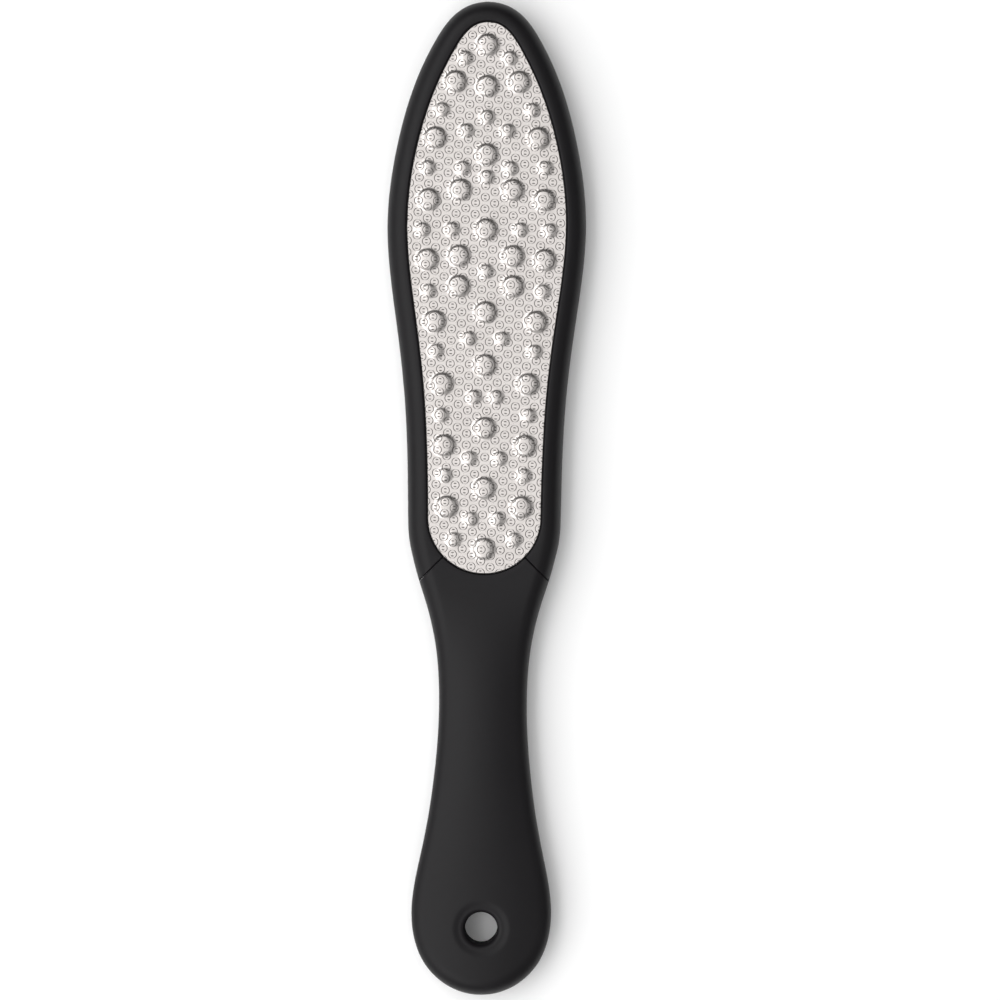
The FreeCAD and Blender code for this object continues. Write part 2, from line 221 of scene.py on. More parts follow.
@dataclass(frozen=True)
class ToolForm:
    """Sizes of the whole tool in millimetres, and the lines that its pieces share."""

    head_length: float = 149.6
    handle_length: float = 110.4
    thickness: float = 12.0
    head_half_width: float = 26.0
    shoulder_half_width: float = 20.0
    waist_half_width: float = 11.5
    butt_half_width: float = 18.3
    widest_from_tip: float = 60.0
    waist_from_head: float = 33.4
    butt_from_end: float = 21.0
    edge_round: float = 4.4
    side_band: float = 1.6
    waist_crown_radius: float = 29.0
    butt_crown_radius: float = 70.0
    rim_width: float = 5.3
    tip_rim_extra: float = 0.5
    tip_rim_near: float = 12.0
    tip_rim_far: float = 38.0
    plate_gap: float = 0.35
    front_plate_z: float = 11.8
    seam_gap: float = 0.36
    hole_radius: float = 4.25
    hole_from_end: float = 17.7
    run_on: int = 5
    side_samples: int = 640
    plate_arc_samples: int = 60
    straight_end_share: float = 0.25
    tip_shares: tuple[Share, ...] = (
        (0.027, 0.242), (0.078, 0.386), (0.167, 0.527), (0.340, 0.717), (0.603, 0.895))
    taper_shares: tuple[Share, ...] = ((0.17, 0.84), (0.38, 0.48), (0.59, 0.19), (0.80, 0.05))
    neck_shares: tuple[Share, ...] = (
        (0.12, 0.04), (0.23, 0.17), (0.34, 0.34), (0.45, 0.54), (0.67, 0.85))
    grip_shares: tuple[Share, ...] = ((0.19, 0.05), (0.37, 0.19), (0.56, 0.41), (0.75, 0.72))
    butt_shares: tuple[Share, ...] = (
        (0.33, 0.05), (0.57, 0.16), (0.82, 0.41), (0.95, 0.675))

    @property
    def tip_y(self) -> float:
        """Place of the tip."""
        return (self.head_length + self.handle_length) / 2.0

    @property
    def recess_inset(self) -> float:
        """Distance of the plates' recesses from the body's outline."""
        return self.rim_width - self.plate_gap

    @property
    def plate_end_radius(self) -> float:
        """Radius of the plate's round end."""
        return self.shoulder_half_width - self.rim_width

    @property
    def arc_centre_y(self) -> float:
        """Place of the centre of the plate's round end."""
        return self.tip_y - self.head_length + self.plate_end_radius

    @property
    def head_end_y(self) -> float:
        """Place where the handle begins on the middle line."""
        return self.arc_centre_y - self.plate_end_radius - self.plate_gap

    @property
    def waist_y(self) -> float:
        """Place of the handle's narrowest width."""
        return self.tip_y - self.head_length - self.waist_from_head

    @property
    def butt_widest_y(self) -> float:
        """Place of the handle's greatest width."""
        return self.butt_from_end - self.tip_y

    @property
    def hole_centre(self) -> np.ndarray:
        """Centre of the hang hole."""
        return np.array([0.0, self.hole_from_end - self.tip_y])

    def control_points(self) -> np.ndarray:
        """Points down the right side of the body, from the tip to the end of the butt.

        Returns:
            The points, shape (n, 2).
        """
        stations = np.array([
            (0.0, self.tip_y),
            (self.head_half_width, self.tip_y - self.widest_from_tip),
            (self.shoulder_half_width, self.arc_centre_y),
            (self.waist_half_width, self.waist_y),
            (self.butt_half_width, self.butt_widest_y),
            (0.0, -self.tip_y),
        ])
        taper = tuple((along, 1.0 - across) for along, across in self.taper_shares)
        tables = (self.tip_shares, taper, self.neck_shares, self.grip_shares, self.butt_shares)
        points = [stations[0]]
        for start, end, shares in zip(stations, stations[1:], tables):
            for along, across in shares:
                points.append(start + (end - start) * np.array([across, along]))
            points.append(end)
        return np.array(points)

    def _curve(self, points: np.ndarray, flip_end: Callable[[np.ndarray], np.ndarray]) -> SmoothLine:
        """Curve through points that runs on past both ends as its own mirror image.

        Args:
            points: points that the curve passes, shape (n, 2).
            flip_end: mirrors points across the line at the curve's end.

        Returns:
            The curve.
        """
        before = flip_across(points[1:self.run_on + 1])[::-1]
        after = flip_end(points[-self.run_on - 1:-1])[::-1]
        return SmoothLine(np.vstack([before, points, after]))

    def side(self, inset: float = 0.0) -> np.ndarray:
        """Right side of the body's outline, from tip to butt, moved in by an inset.

        Args:
            inset: distance into the body.

        Returns:
            The points, shape (n, 2).
        """
        points = self.control_points()
        curve = self._curve(points, flip_across)
        place, along = curve.sample(self.run_on, self.run_on + len(points) - 1, self.side_samples)
        moved = place + np.column_stack([along[:, 1], -along[:, 0]]) * inset
        moved[0, 0] = moved[-1, 0] = 0.0
        return moved

    def normals(self) -> np.ndarray:
        """Directions into the body at the points of the closed outline.

        Returns:
            Unit directions, shape (n, 2).
        """
        inward = self.side(1.0) - self.side(0.0)
        inward[0], inward[-1] = (0.0, -1.0), (0.0, 1.0)
        return closed_loop(inward)

    def plate_side(self, inset: float, count: int = 420) -> np.ndarray:
        """Right side of the plate's outline: along the head, then round its end.

        Args:
            inset: distance from the body's outline.
            count: samples along the head's side.

        Returns:
            Points from the middle line at the tip to the middle line at the round end.
        """
        radius = self.shoulder_half_width - inset
        controls = self.control_points()
        curve = self._curve(controls, flip_across)
        first = self.run_on
        place, along = [], []
        for index in range(first, first + len(controls)):
            spot, direction = curve.sample(index, index, 1)
            place.append(spot[0])
            along.append(direction[0])
        place, along = np.array(place), np.array(along)
        left = self.tip_rim_far - (self.tip_y - place[:, 1])
        extra = self.tip_rim_extra * smooth_step(left / (self.tip_rim_far - self.tip_rim_near))
        moved = place + np.column_stack([along[:, 1], -along[:, 0]]) * (inset + extra)[:, None]
        moved[0, 0] = 0.0
        end_y = self.arc_centre_y + radius * self.straight_end_share
        kept = [spot for spot in moved if spot[1] > end_y]
        kept.append(np.array([radius, self.arc_centre_y]))
        points = np.array(kept)

        def across_shoulder(spots: np.ndarray) -> np.ndarray:
            """Points mirrored across the line through the end arc's centre."""
            return np.column_stack([spots[:, 0], 2.0 * self.arc_centre_y - spots[:, 1]])

        line = self._curve(points, across_shoulder)
        side, _ = line.sample(first, first + len(points) - 1, count)
        arc = self.end_arc(radius, np.linspace(0.0, -math.pi / 2.0, self.plate_arc_samples)[1:])
        side[0, 0] = arc[-1, 0] = 0.0
        return np.vstack([side, arc])

    def end_arc(self, radius: float, angles: np.ndarray) -> np.ndarray:
        """Points round the centre of the plate's round end."""
        return np.column_stack([radius * np.cos(angles), self.arc_centre_y + radius * np.sin(angles)])

    def cut_at_seam(self, side: np.ndarray, gap: float = 0.0) -> tuple[int, np.ndarray]:
        """Place where a side line crosses the seam.

        Args:
            side: points from the tip towards the butt, shape (n, 2).
            gap: distance of the cut from the seam, on the head's side.

        Returns:
            Number of the first point past the cut, and the crossing.
        """
        value = self.seam_distance(side) + gap
        first = int(np.nonzero(value > 0.0)[0][0])
        share = -value[first - 1] / (value[first] - value[first - 1])
        return first, side[first - 1] + (side[first] - side[first - 1]) * share

    def seam_distance(self, points: np.ndarray) -> np.ndarray:
        """Distance from the slanted seams, positive on the handle's side."""
        return (self.arc_centre_y - np.abs(points[:, 0]) - points[:, 1]) * math.sqrt(0.5)


@dataclass
class BodyRelief:
    """Height of the tool's moulded front face over its plan."""

    form: ToolForm
    lip_round: float = 0.28
    seam_bevel: float = 0.1
    seam_depth: float = 0.05
    mouth_round: float = 1.3
    dish_radius: float = 7.7
    dish_depth: float = 0.38
    outline: np.ndarray = field(init=False)
    inward: np.ndarray = field(init=False)
    edge: NearestOnLoop = field(init=False)
    recess: NearestOnLoop = field(init=False)

    def __post_init__(self) -> None:
        """Prepares the outline and the recess for distance searches."""
        form = self.form
        self.outline = closed_loop(form.side())
        self.inward = form.normals()
        self.edge = NearestOnLoop(self.outline)
        self.recess = NearestOnLoop(closed_loop(form.plate_side(form.recess_inset)))

    def crown_curvature(self, y: np.ndarray) -> np.ndarray:
        """Curvature across the handle: none at the seam, most at the waist.

        Args:
            y: places along the tool.

        Returns:
            One over the radius, in 1/mm, for each place.
        """
        form = self.form
        rise = smooth_step((form.head_end_y - y) / (form.head_end_y - form.waist_y))
        ease = smooth_step((form.waist_y - y) / (form.waist_y - form.butt_widest_y))
        return rise * ((1.0 - ease) / form.waist_crown_radius + ease / form.butt_crown_radius)

    def crown(self, points: np.ndarray) -> np.ndarray:
        """Height of the front face without its rounded edges."""
        drop = self.crown_curvature(points[:, 1]) * points[:, 0] ** 2 / 2.0
        return self.form.thickness - drop

    def moulded(self, points: np.ndarray) -> np.ndarray:
        """Height with the rounded edges.

        Args:
            points: places in plan, shape (n, 2).

        Returns:
            Heights in millimetres, shape (n,).
        """
        form = self.form
        gap, nearest = self.edge.query(points)
        place, inward = self.outline[nearest], self.inward[nearest]
        bend = self.crown_curvature(place[:, 1]) * np.abs(place[:, 0] * inward[:, 0])
        slope = np.arctan(bend)
        reach = form.edge_round * (1.0 - np.sin(slope))
        start_z = self.crown(place + inward * reach[:, None])
        side_z = (form.thickness + form.side_band) / 2.0
        lean = np.clip(1.0 - gap / form.edge_round, 0.0, 1.0)
        left = np.sqrt(1.0 - lean**2) / np.cos(slope)
        rounded = side_z + (start_z - side_z) * left
        return np.where(gap < reach, rounded, self.crown(points))

    def lip_drop(self, points: np.ndarray) -> np.ndarray:
        """How far the rounded lip round the plate's recess has fallen.

        Args:
            points: places in plan, shape (n, 2).

        Returns:
            Falls in millimetres, shape (n,).
        """
        gap, _ = self.recess.query(points)
        into = np.clip(self.lip_round - gap, 0.0, self.lip_round)
        return self.lip_round - np.sqrt(self.lip_round**2 - into**2)

    def seam_drop(self, gap: np.ndarray) -> np.ndarray:
        """How far the bevel along a seam has fallen at a distance from it."""
        near = np.clip(1.0 - gap / self.seam_bevel, 0.0, 1.0)
        return self.seam_depth * near**2

    def hole_drop(self, points: np.ndarray) -> np.ndarray:
        """Depth of the hang hole's dish and rounded mouth.

        Args:
            points: places in plan, shape (n, 2).

        Returns:
            Depths in millimetres, shape (n,).
        """
        form = self.form
        radius = np.linalg.norm(points - form.hole_centre, axis=1)
        mouth = form.hole_radius + self.mouth_round
        bowl = smooth_step((self.dish_radius - radius) / (self.dish_radius - mouth))
        into = np.clip(mouth - radius, 0.0, self.mouth_round)
        return self.dish_depth * bowl + self.mouth_round - np.sqrt(self.mouth_round**2 - into**2)


@dataclass
class PlanSolid:
    """Closed solid between a top and a bottom height over one area of the plan."""

    loops: list[np.ndarray]
    top: Callable[[np.ndarray], np.ndarray]
    bottom: Callable[[np.ndarray], np.ndarray]
    lines: list[np.ndarray] = field(default_factory=list)
    loose: list[np.ndarray] = field(default_factory=list)
    mirror_z: Optional[float] = None
    plain_bottom: bool = False
    weld: float = 1e-5
    rim_weld: float = 1e-6

    def _inner_points(self) -> tuple[np.ndarray, np.ndarray]:
        """Points of the inner lines that lie in the area, and the edges that join them.

        Returns:
            Points of shape (n, 2), and pairs of their numbers.
        """
        points = np.vstack(self.lines + self.loose)
        kept = inside(points, self.loops)
        numbers = np.cumsum(kept) - 1
        sizes = np.array([len(line) for line in self.lines])
        ends = np.cumsum(sizes)
        following = np.arange(1, ends[-1] + 1)
        following[ends - 1] = ends - sizes
        joined = np.nonzero(kept[:ends[-1]] & kept[following])[0]
        return points[kept], np.column_stack([numbers[joined], numbers[following[joined]]])

    def _fill(self, points: np.ndarray, edges: Sequence[Sequence[int]], weld: float,
              up: bool) -> tuple[np.ndarray, np.ndarray]:
        """Triangles between points, kept where they lie in the area.

        Args:
            points: places in plan, shape (n, 2).
            edges: pairs of point numbers that stay joined.
            weld: distance at which points become one.
            up: whether the triangles turn counter-clockwise, seen from above.

        Returns:
            Plan points of shape (n, 2) and triangles of shape (m, 3).
        """
        result = delaunay_2d_cdt([Vector(spot) for spot in points], edges, [], 0, weld)
        plan = np.array([tuple(spot) for spot in result[0]])
        faces = np.array([tuple(face) for face in result[2]], int)
        faces = faces[inside(plan[faces].mean(axis=1), self.loops)]
        first, second = plan[faces[:, 1]] - plan[faces[:, 0]], plan[faces[:, 2]] - plan[faces[:, 0]]
        area = first[:, 0] * second[:, 1] - first[:, 1] * second[:, 0]
        wrong = area < 0.0 if up else area > 0.0
        faces[wrong] = faces[wrong][:, ::-1]
        return plan, faces

    def _plan_mesh(self) -> tuple[np.ndarray, np.ndarray]:
        """Triangles that fill the area.

        Returns:
            Plan points of shape (n, 2) and triangles of shape (m, 3), counter-clockwise.
        """
        inner, inner_edges = self._inner_points()
        outer_edges: list[tuple[int, int]] = []
        start = 0
        for loop in self.loops:
            size = len(loop)
            outer_edges += [(start + i, start + (i + 1) % size) for i in range(size)]
            start += size
        edges = outer_edges + (inner_edges + start).tolist()
        plan, faces = self._fill(np.vstack(self.loops + [inner]), edges, self.weld, True)
        used, numbers = np.unique(faces, return_inverse=True)
        return plan[used], numbers.reshape(-1, 3)

    def _plain_faces(self, plan: np.ndarray, rim: list[tuple[int, int]]) -> np.ndarray:
        """Few triangles between the points of the rim alone.

        Args:
            plan: the plan mesh's points.
            rim: its open edges.

        Returns:
            Triangles, clockwise seen from above.
        """
        used = sorted({index for edge in rim for index in edge})
        place = {index: number for number, index in enumerate(used)}
        edges = [(place[a], place[b]) for a, b in rim]
        _, faces = self._fill(plan[used], edges, self.rim_weld, False)
        return np.array(used)[faces]

    def build(self, name: str) -> bpy.types.Object:
        """Makes the solid's object.

        Args:
            name: name of the object and its mesh.

        Returns:
            The new object, in metres.
        """
        plan, triangles = self._plan_mesh()
        count = len(plan)
        edges = {(int(f[i]), int(f[i - 2])) for f in triangles for i in range(3)}
        rim = [edge for edge in edges if (edge[1], edge[0]) not in edges]
        top = np.column_stack([plan, self.top(plan)])
        bottom = np.column_stack([plan, self.bottom(plan)])
        under = self._plain_faces(plan, rim) if self.plain_bottom else triangles[:, ::-1]
        walls = np.array([(b, a, a + count, b + count) for a, b in rim])
        faces = triangles.tolist() + (under + count).tolist() + walls.tolist()
        vertices = np.vstack([top, bottom])
        used, numbers = np.unique(np.concatenate([np.ravel(face) for face in faces]),
                                  return_inverse=True)
        renumber = dict(zip(used.tolist(), range(len(used))))
        faces = [[renumber[index] for index in face] for face in faces]
        vertices = vertices[used]
        if self.mirror_z is not None:
            vertices[:, 2] = self.mirror_z - vertices[:, 2]
            faces = [face[::-1] for face in faces]
        mesh = bpy.data.meshes.new(name)
        mesh.from_pydata((vertices * MM).tolist(), [], faces)
        mesh.update()
        return place_object(name, mesh)


def place_object(name: str, data: bpy.types.ID) -> bpy.types.Object:
    """Makes an object for a mesh, a lamp or a camera, and puts it in the scene.

    Args:
        name: name of the object.
        data: what the object shows.

    Returns:
        The new object.
    """
    piece = bpy.data.objects.new(name, data)
    bpy.context.scene.collection.objects.link(piece)
    return piece


def finish_surface(piece: bpy.types.Object, sharp_angle: float = 38.0) -> None:
    """Shades a piece smooth, apart from its sharp edges.

    Args:
        piece: the piece to shade.
        sharp_angle: turn between faces, in degrees, that makes their edge sharp.
    """
    mesh = piece.data
    mesh.polygons.foreach_set("use_smooth", [True] * len(mesh.polygons))
    mesh.set_sharp_from_angle(angle=math.radians(sharp_angle))


def point_places(piece: bpy.types.Object) -> np.ndarray:
    """Places of a piece's points.

    Args:
        piece: the piece to read.

    Returns:
        Places in millimetres, shape (n, 3).
    """
    places = np.zeros(len(piece.data.vertices) * 3)
    piece.data.vertices.foreach_get("co", places)
    return places.reshape(-1, 3) / MM


def store_shares(piece: bpy.types.Object, name: str, shares: np.ndarray) -> None:
    """Stores one share for each point of a piece, under a name that its finish reads."""
    layer = piece.data.attributes.new(name, "FLOAT", "POINT")
    layer.data.foreach_set("value", shares.astype(np.float32))


class Sock:
    """A socket whose sums and products become Math nodes."""

    def __init__(self, tree: bpy.types.NodeTree, socket: bpy.types.NodeSocket) -> None:
        """Keeps the socket and the tree that it belongs to."""
        self.tree = tree
        self.socket = socket

    def _math(self, operation: str, first: "Value", second: "Value") -> "Sock":
        """Adds one Math node.

        Args:
            operation: the node's operation.
            first: first value or socket.
            second: second value or socket.

        Returns:
            The node's result.
        """
        node = self.tree.nodes.new("ShaderNodeMath")
        node.operation = operation
        for slot, value in zip(node.inputs, (first, second)):
            if isinstance(value, Sock):
                self.tree.links.new(value.socket, slot)
            else:
                slot.default_value = value
        return Sock(self.tree, node.outputs[0])

    def __add__(self, other: "Value") -> "Sock":
        """Sum."""
        return self._math("ADD", self, other)

    __radd__ = __add__

    def __sub__(self, other: "Value") -> "Sock":
        """Difference."""
        return self._math("SUBTRACT", self, other)

    def __rsub__(self, other: "Value") -> "Sock":
        """Difference from a number."""
        return self._math("SUBTRACT", other, self)

    def __mul__(self, other: "Value") -> "Sock":
        """Product."""
        return self._math("MULTIPLY", self, other)

    __rmul__ = __mul__

    def least(self, other: "Value") -> "Sock":
        """The smaller of two values."""
        return self._math("MINIMUM", self, other)


Value = Union[Sock, float]


class Recipe:
    """Writes the nodes of one material, world or lamp."""

    def __init__(self, tree: bpy.types.NodeTree) -> None:
        """Starts with an empty tree."""
        self.tree = tree
        tree.nodes.clear()

    def node(self, kind: str, settings: Optional[dict] = None, output: Union[int, str] = 0,
             **sockets: object) -> Sock:
        """Adds a node.

        Args:
            kind: the node's type, without its "ShaderNode" start.
            settings: attributes that are set before the sockets.
            output: which output is returned.
            **sockets: values or Socks by socket name, with _ for a space, or by n0, n1.

        Returns:
            The chosen output.
        """
        node = self.tree.nodes.new("ShaderNode" + kind)
        for key, value in (settings or {}).items():
            setattr(node, key, value)
        for key, value in sockets.items():
            slot = node.inputs[int(key[1:])] if key[0] == "n" and key[1:].isdigit() else (
                node.inputs[key.replace("_", " ")])
            if isinstance(value, Sock):
                self.tree.links.new(value.socket, slot)
            else:
                slot.default_value = value
        return Sock(self.tree, node.outputs[output] if node.outputs else None)

    def noise(self, place: Sock, scale: float, detail: float) -> Sock:
        """Noise between 0 and 1 at a scale in blotches to the metre."""
        return self.node("TexNoise", None, "Fac", Vector=place, Scale=scale, Detail=detail)

    def blend(self, share: Value, low: Union[Sock, tuple], high: Union[Sock, tuple]) -> Sock:
        """Colour between two colours."""
        return self.node("Mix", {"data_type": "RGBA"}, 2, n0=share, n6=low, n7=high)

    def bump(self, height: Sock, strength: float, distance: float) -> Sock:
        """Normal over a height, whose full rise is a distance in metres."""
        return self.node("Bump", None, "Normal", Strength=strength, Distance=distance, Height=height)

    def ramp(self, value: Sock, low: float, high: float) -> Sock:
        """Share of the way from a low to a high value, kept between 0 and 1."""
        return self.node("MapRange", {"clamp": True}, "Result", Value=value, From_Min=low,
                         From_Max=high)


def colour(red: float, green: float, blue: float) -> tuple[float, float, float, float]:
    """Opaque colour."""
    return (red, green, blue, 1.0)


def start_finish(name: str) -> tuple[bpy.types.Material, Recipe, Sock]:
    """Starts a finish.

    Args:
        name: name of the material.

    Returns:
        The material, the writer of its nodes, and the place on the object.
    """
    material = bpy.data.materials.new(name)
    material.use_nodes = True
    recipe = Recipe(material.node_tree)
    return material, recipe, recipe.node("TexCoord", None, "Object")


@dataclass(frozen=True)
class SoftTouchPlastic:
    """Black rubber-like coat over moulded plastic."""

    name: str = "soft_touch_black"
    base: tuple = colour(0.0018, 0.0012, 0.0021)
    worn: tuple = colour(0.0029, 0.0022, 0.0032)
    specular: float = 0.225
    roughness: float = 0.47
    bare_roughness: float = 0.5
    grain: float = 5200.0
    cloud: float = 60.0
    speck_ratio: float = 0.35
    tint_shares: Share = (0.7, 0.3)
    tint_range: Share = (0.35, 0.65)
    cloud_swing: float = 0.10
    speck_swing: float = 0.08
    grain_strength: float = 0.16
    grain_height: float = 0.00006

    def build(self) -> bpy.types.Material:
        """Makes the material: fine grain, faint clouds in its gloss.

        Returns:
            The material.
        """
        material, recipe, place = start_finish(self.name)
        cloud = recipe.noise(place, self.cloud, 3.0)
        grain = recipe.noise(place, self.grain, 1.0)
        speck = recipe.noise(place, self.grain * self.speck_ratio, 2.0)
        wear = cloud * self.tint_shares[0] + speck * self.tint_shares[1]
        tint = recipe.blend(recipe.ramp(wear, *self.tint_range), self.base, self.worn)
        bare = recipe.node("Attribute", {"attribute_name": BARE}, "Fac")
        rough = self.roughness + (cloud - 0.5) * self.cloud_swing + (speck - 0.5) * self.speck_swing
        rough += bare * self.bare_roughness
        bump = recipe.bump(grain, self.grain_strength, self.grain_height)
        shader = recipe.node("BsdfPrincipled", Base_Color=tint, Roughness=rough, Normal=bump,
                             Specular_IOR_Level=self.specular)
        recipe.node("OutputMaterial", Surface=shader)
        return material


@dataclass(frozen=True)
class EtchedSteel:
    """Satin stainless sheet with etched rings, with shade painted into the rings' grooves and marks.
    """

    name: str = "etched_steel"
    base: tuple = colour(0.568, 0.537, 0.520)
    stained: tuple = colour(0.518, 0.488, 0.470)
    painted_groove_shade: tuple = colour(0.08, 0.075, 0.072)
    roughness: float = 0.30
    cloud: float = 90.0
    speck: float = 2600.0
    stain_shares: Share = (0.6, 0.4)
    stain_range: Share = (0.35, 0.7)
    painted_shade_gain: float = 1.2
    speck_swing: float = 0.16
    pit_roughness: float = 0.25
    speck_strength: float = 0.22
    speck_height: float = 0.00005

    def build(self) -> bpy.types.Material:
        """Makes the material: satin specks, faint stains, painted shade in the etched grooves and
        marks.

        Returns:
            The material.
        """
        material, recipe, place = start_finish(self.name)
        etch = recipe.node("Attribute", {"attribute_name": ETCH}, "Fac")
        cloud = recipe.noise(place, self.cloud, 3.0)
        speck = recipe.noise(place, self.speck, 2.0)
        stain = cloud * self.stain_shares[0] + speck * self.stain_shares[1]
        sheet = recipe.blend(recipe.ramp(stain, *self.stain_range), self.base, self.stained)
        # Painted shade: the etched grooves and marks are darkened towards near black by their etch
        # depth
        tint = recipe.blend((etch * self.painted_shade_gain).least(1.0), sheet, self.painted_groove_shade)
        rough = self.roughness + (speck - 0.5) * self.speck_swing + etch * self.pit_roughness
        bump = recipe.bump(speck, self.speck_strength, self.speck_height)
        shader = recipe.node("BsdfPrincipled", Base_Color=tint, Roughness=rough, Metallic=1.0,
                             Normal=bump)
        recipe.node("OutputMaterial", Surface=shader)
        return material


@dataclass(frozen=True)
class AdhesiveSheet:
    """Pale double-sided sheet under a plate."""

    name: str = "adhesive"
    base: tuple = colour(0.72, 0.70, 0.64)
    deep: tuple = colour(0.60, 0.58, 0.52)
    fibre: float = 1500.0
    tint_range: Share = (0.3, 0.7)
    roughness: float = 0.6
    fibre_swing: float = 0.2
    fibre_strength: float = 0.3
    fibre_height: float = 0.0001

    def build(self) -> bpy.types.Material:
        """Makes the material: matte, with faint fibres.

        Returns:
            The material.
        """
        material, recipe, place = start_finish(self.name)
        fibre = recipe.noise(place, self.fibre, 4.0)
        tint = recipe.blend(recipe.ramp(fibre, *self.tint_range), self.base, self.deep)
        rough = self.roughness + fibre * self.fibre_swing
        bump = recipe.bump(fibre, self.fibre_strength, self.fibre_height)
        shader = recipe.node("BsdfPrincipled", Base_Color=tint, Roughness=rough, Normal=bump)
        recipe.node("OutputMaterial", Surface=shader)
        return material


@dataclass(frozen=True)
class WhiteGround:
    """White floor that shows as white to the camera and keeps the tool's shadow."""

    name: str = "white_ground"
    base: tuple = colour(0.90, 0.90, 0.90)
    lift: float = 0.02

    def build(self) -> bpy.types.Material:
        """Makes the material: matte white, lifted for camera and glossy rays.

        Returns:
            The material.
        """
        material = bpy.data.materials.new(self.name)
        material.use_nodes = True
        recipe = Recipe(material.node_tree)
        seen = recipe.node("LightPath", None, "Is Camera Ray")
        glossy = recipe.node("LightPath", None, "Is Glossy Ray")
        through = recipe.node("LightPath", None, "Is Transmission Ray")
        shown = (seen + glossy + through).least(1.0)
        matte = recipe.node("BsdfDiffuse", Color=self.base)
        glow = recipe.node("Emission", Color=colour(1.0, 1.0, 1.0), Strength=1.0)
        shader = recipe.node("MixShader", n0=shown * self.lift, n1=matte, n2=glow)
        recipe.node("OutputMaterial", Surface=shader)
        return material


def dress(piece: bpy.types.Object, material: bpy.types.Material) -> None:
    """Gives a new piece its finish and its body.

    Args:
        piece: the piece to dress.
        material: its finish.
    """
    piece.data.materials.clear()
    piece.data.materials.append(material)
    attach(piece, "root")


@dataclass
class HeadFrame:
    """The head's moulded rim: rounded edge, flat land and rounded lip round each recess."""

    form: ToolForm
    relief: BodyRelief
    floor_z: float = 11.0
    ledge: float = 0.9
    wall_lean: float = 0.012
    round_rows: int = 14
    seam_touch: float = 0.02
    seam_points: int = 24
    groove_depth: float = 0.4
    seam_rows: tuple[float, ...] = (0.0, 0.012, 0.05, 0.1, 0.15)

    def loops(self) -> list[np.ndarray]:
        """The rim's area in plan: a band that runs round the head from seam to seam.

        Returns:
            The area's one loop.
        """
        form = self.form
        sides = []
        for side in (form.side(), form.plate_side(form.recess_inset + self.ledge)):
            first, crossing = form.cut_at_seam(side, self.seam_touch)
            sides.append(np.vstack([side[:first], crossing]))
        outer, inner = sides
        seam = between(outer[-1], inner[-1], self.seam_points)
        return [np.vstack([
            outer, seam, inner[::-1], flip_across(inner)[1:],
            flip_across(seam)[::-1], flip_across(outer)[:0:-1],
        ])]

    def height(self, points: np.ndarray) -> np.ndarray:
        """Height of the front over the plan.

        Args:
            points: places in plan, shape (n, 2).

        Returns:
            Heights in millimetres, shape (n,).
        """
        relief, form = self.relief, self.form
        gap, _ = relief.recess.query(points)
        within = inside(points, [relief.recess.loop]) & (gap > self.wall_lean * 0.5)
        moulded = relief.moulded(points)
        from_seam = -form.seam_distance(points) - form.seam_gap
        land = moulded - relief.lip_drop(points) - relief.seam_drop(from_seam)
        groove = np.maximum(moulded - self.groove_depth, form.thickness / 2.0 + self.seam_touch)
        land = np.where(from_seam < self.wall_lean * 0.5, groove, land)
        return np.where(within, self.floor_z, land)

    def build(self, finish: bpy.types.Material) -> bpy.types.Object:
        """Makes and dresses the rim.

        Args:
            finish: the plastic.

        Returns:
            The piece.
        """
        form, relief = self.form, self.relief
        lines = edge_rows(form, self.round_rows)
        lines += lip_rows(form, relief)
        lines.append(closed_loop(form.plate_side(form.recess_inset + self.wall_lean)))
        for gap in self.seam_rows:
            lines += seam_lines(form, -form.seam_gap - gap)
        solid = PlanSolid(
            loops=self.loops(),
            top=self.height,
            bottom=lambda points: form.thickness - self.height(points),
            lines=lines,
        )
        piece = solid.build("head_frame_rim")
        from_seam = -form.seam_distance(point_places(piece)[:, :2]) - form.seam_gap
        store_shares(piece, BARE, (from_seam < self.wall_lean * 0.5).astype(float))
        finish_surface(piece)
        dress(piece, finish)
        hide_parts("head_frame")
        return piece


def edge_rows(form: ToolForm, count: int) -> list[np.ndarray]:
    """Lines along the body's rounded edge, closest where the round is steepest."""
    angles = np.linspace(math.pi / 2.0, 0.0, count)[1:]
    return [closed_loop(form.side(form.edge_round * (1.0 - math.sin(angle)))) for angle in angles]


def lip_rows(form: ToolForm, relief: BodyRelief) -> list[np.ndarray]:
    """Lines along the rounded lip of the recess.

    Args:
        form: the tool's sizes.
        relief: the front's heights.

    Returns:
        The closed lines.
    """
    angles = np.linspace(math.pi / 2.0, 0.0, LIP_ROWS)
    steps = [relief.lip_round * (1.0 - math.sin(angle)) for angle in angles]
    return [closed_loop(form.plate_side(form.recess_inset - step)) for step in steps]


def seam_lines(form: ToolForm, distance: float) -> list[np.ndarray]:
    """Lines along both seams at a distance from them, positive on the handle's side.

    Args:
        form: the tool's sizes.
        distance: how far from the seams.

    Returns:
        A right and a left line.
    """
    reach = np.arange(*SEAM_REACH)
    drop = distance * math.sqrt(2.0)
    right = np.column_stack([reach, form.arc_centre_y - reach - drop])
    return [right, flip_across(right)]


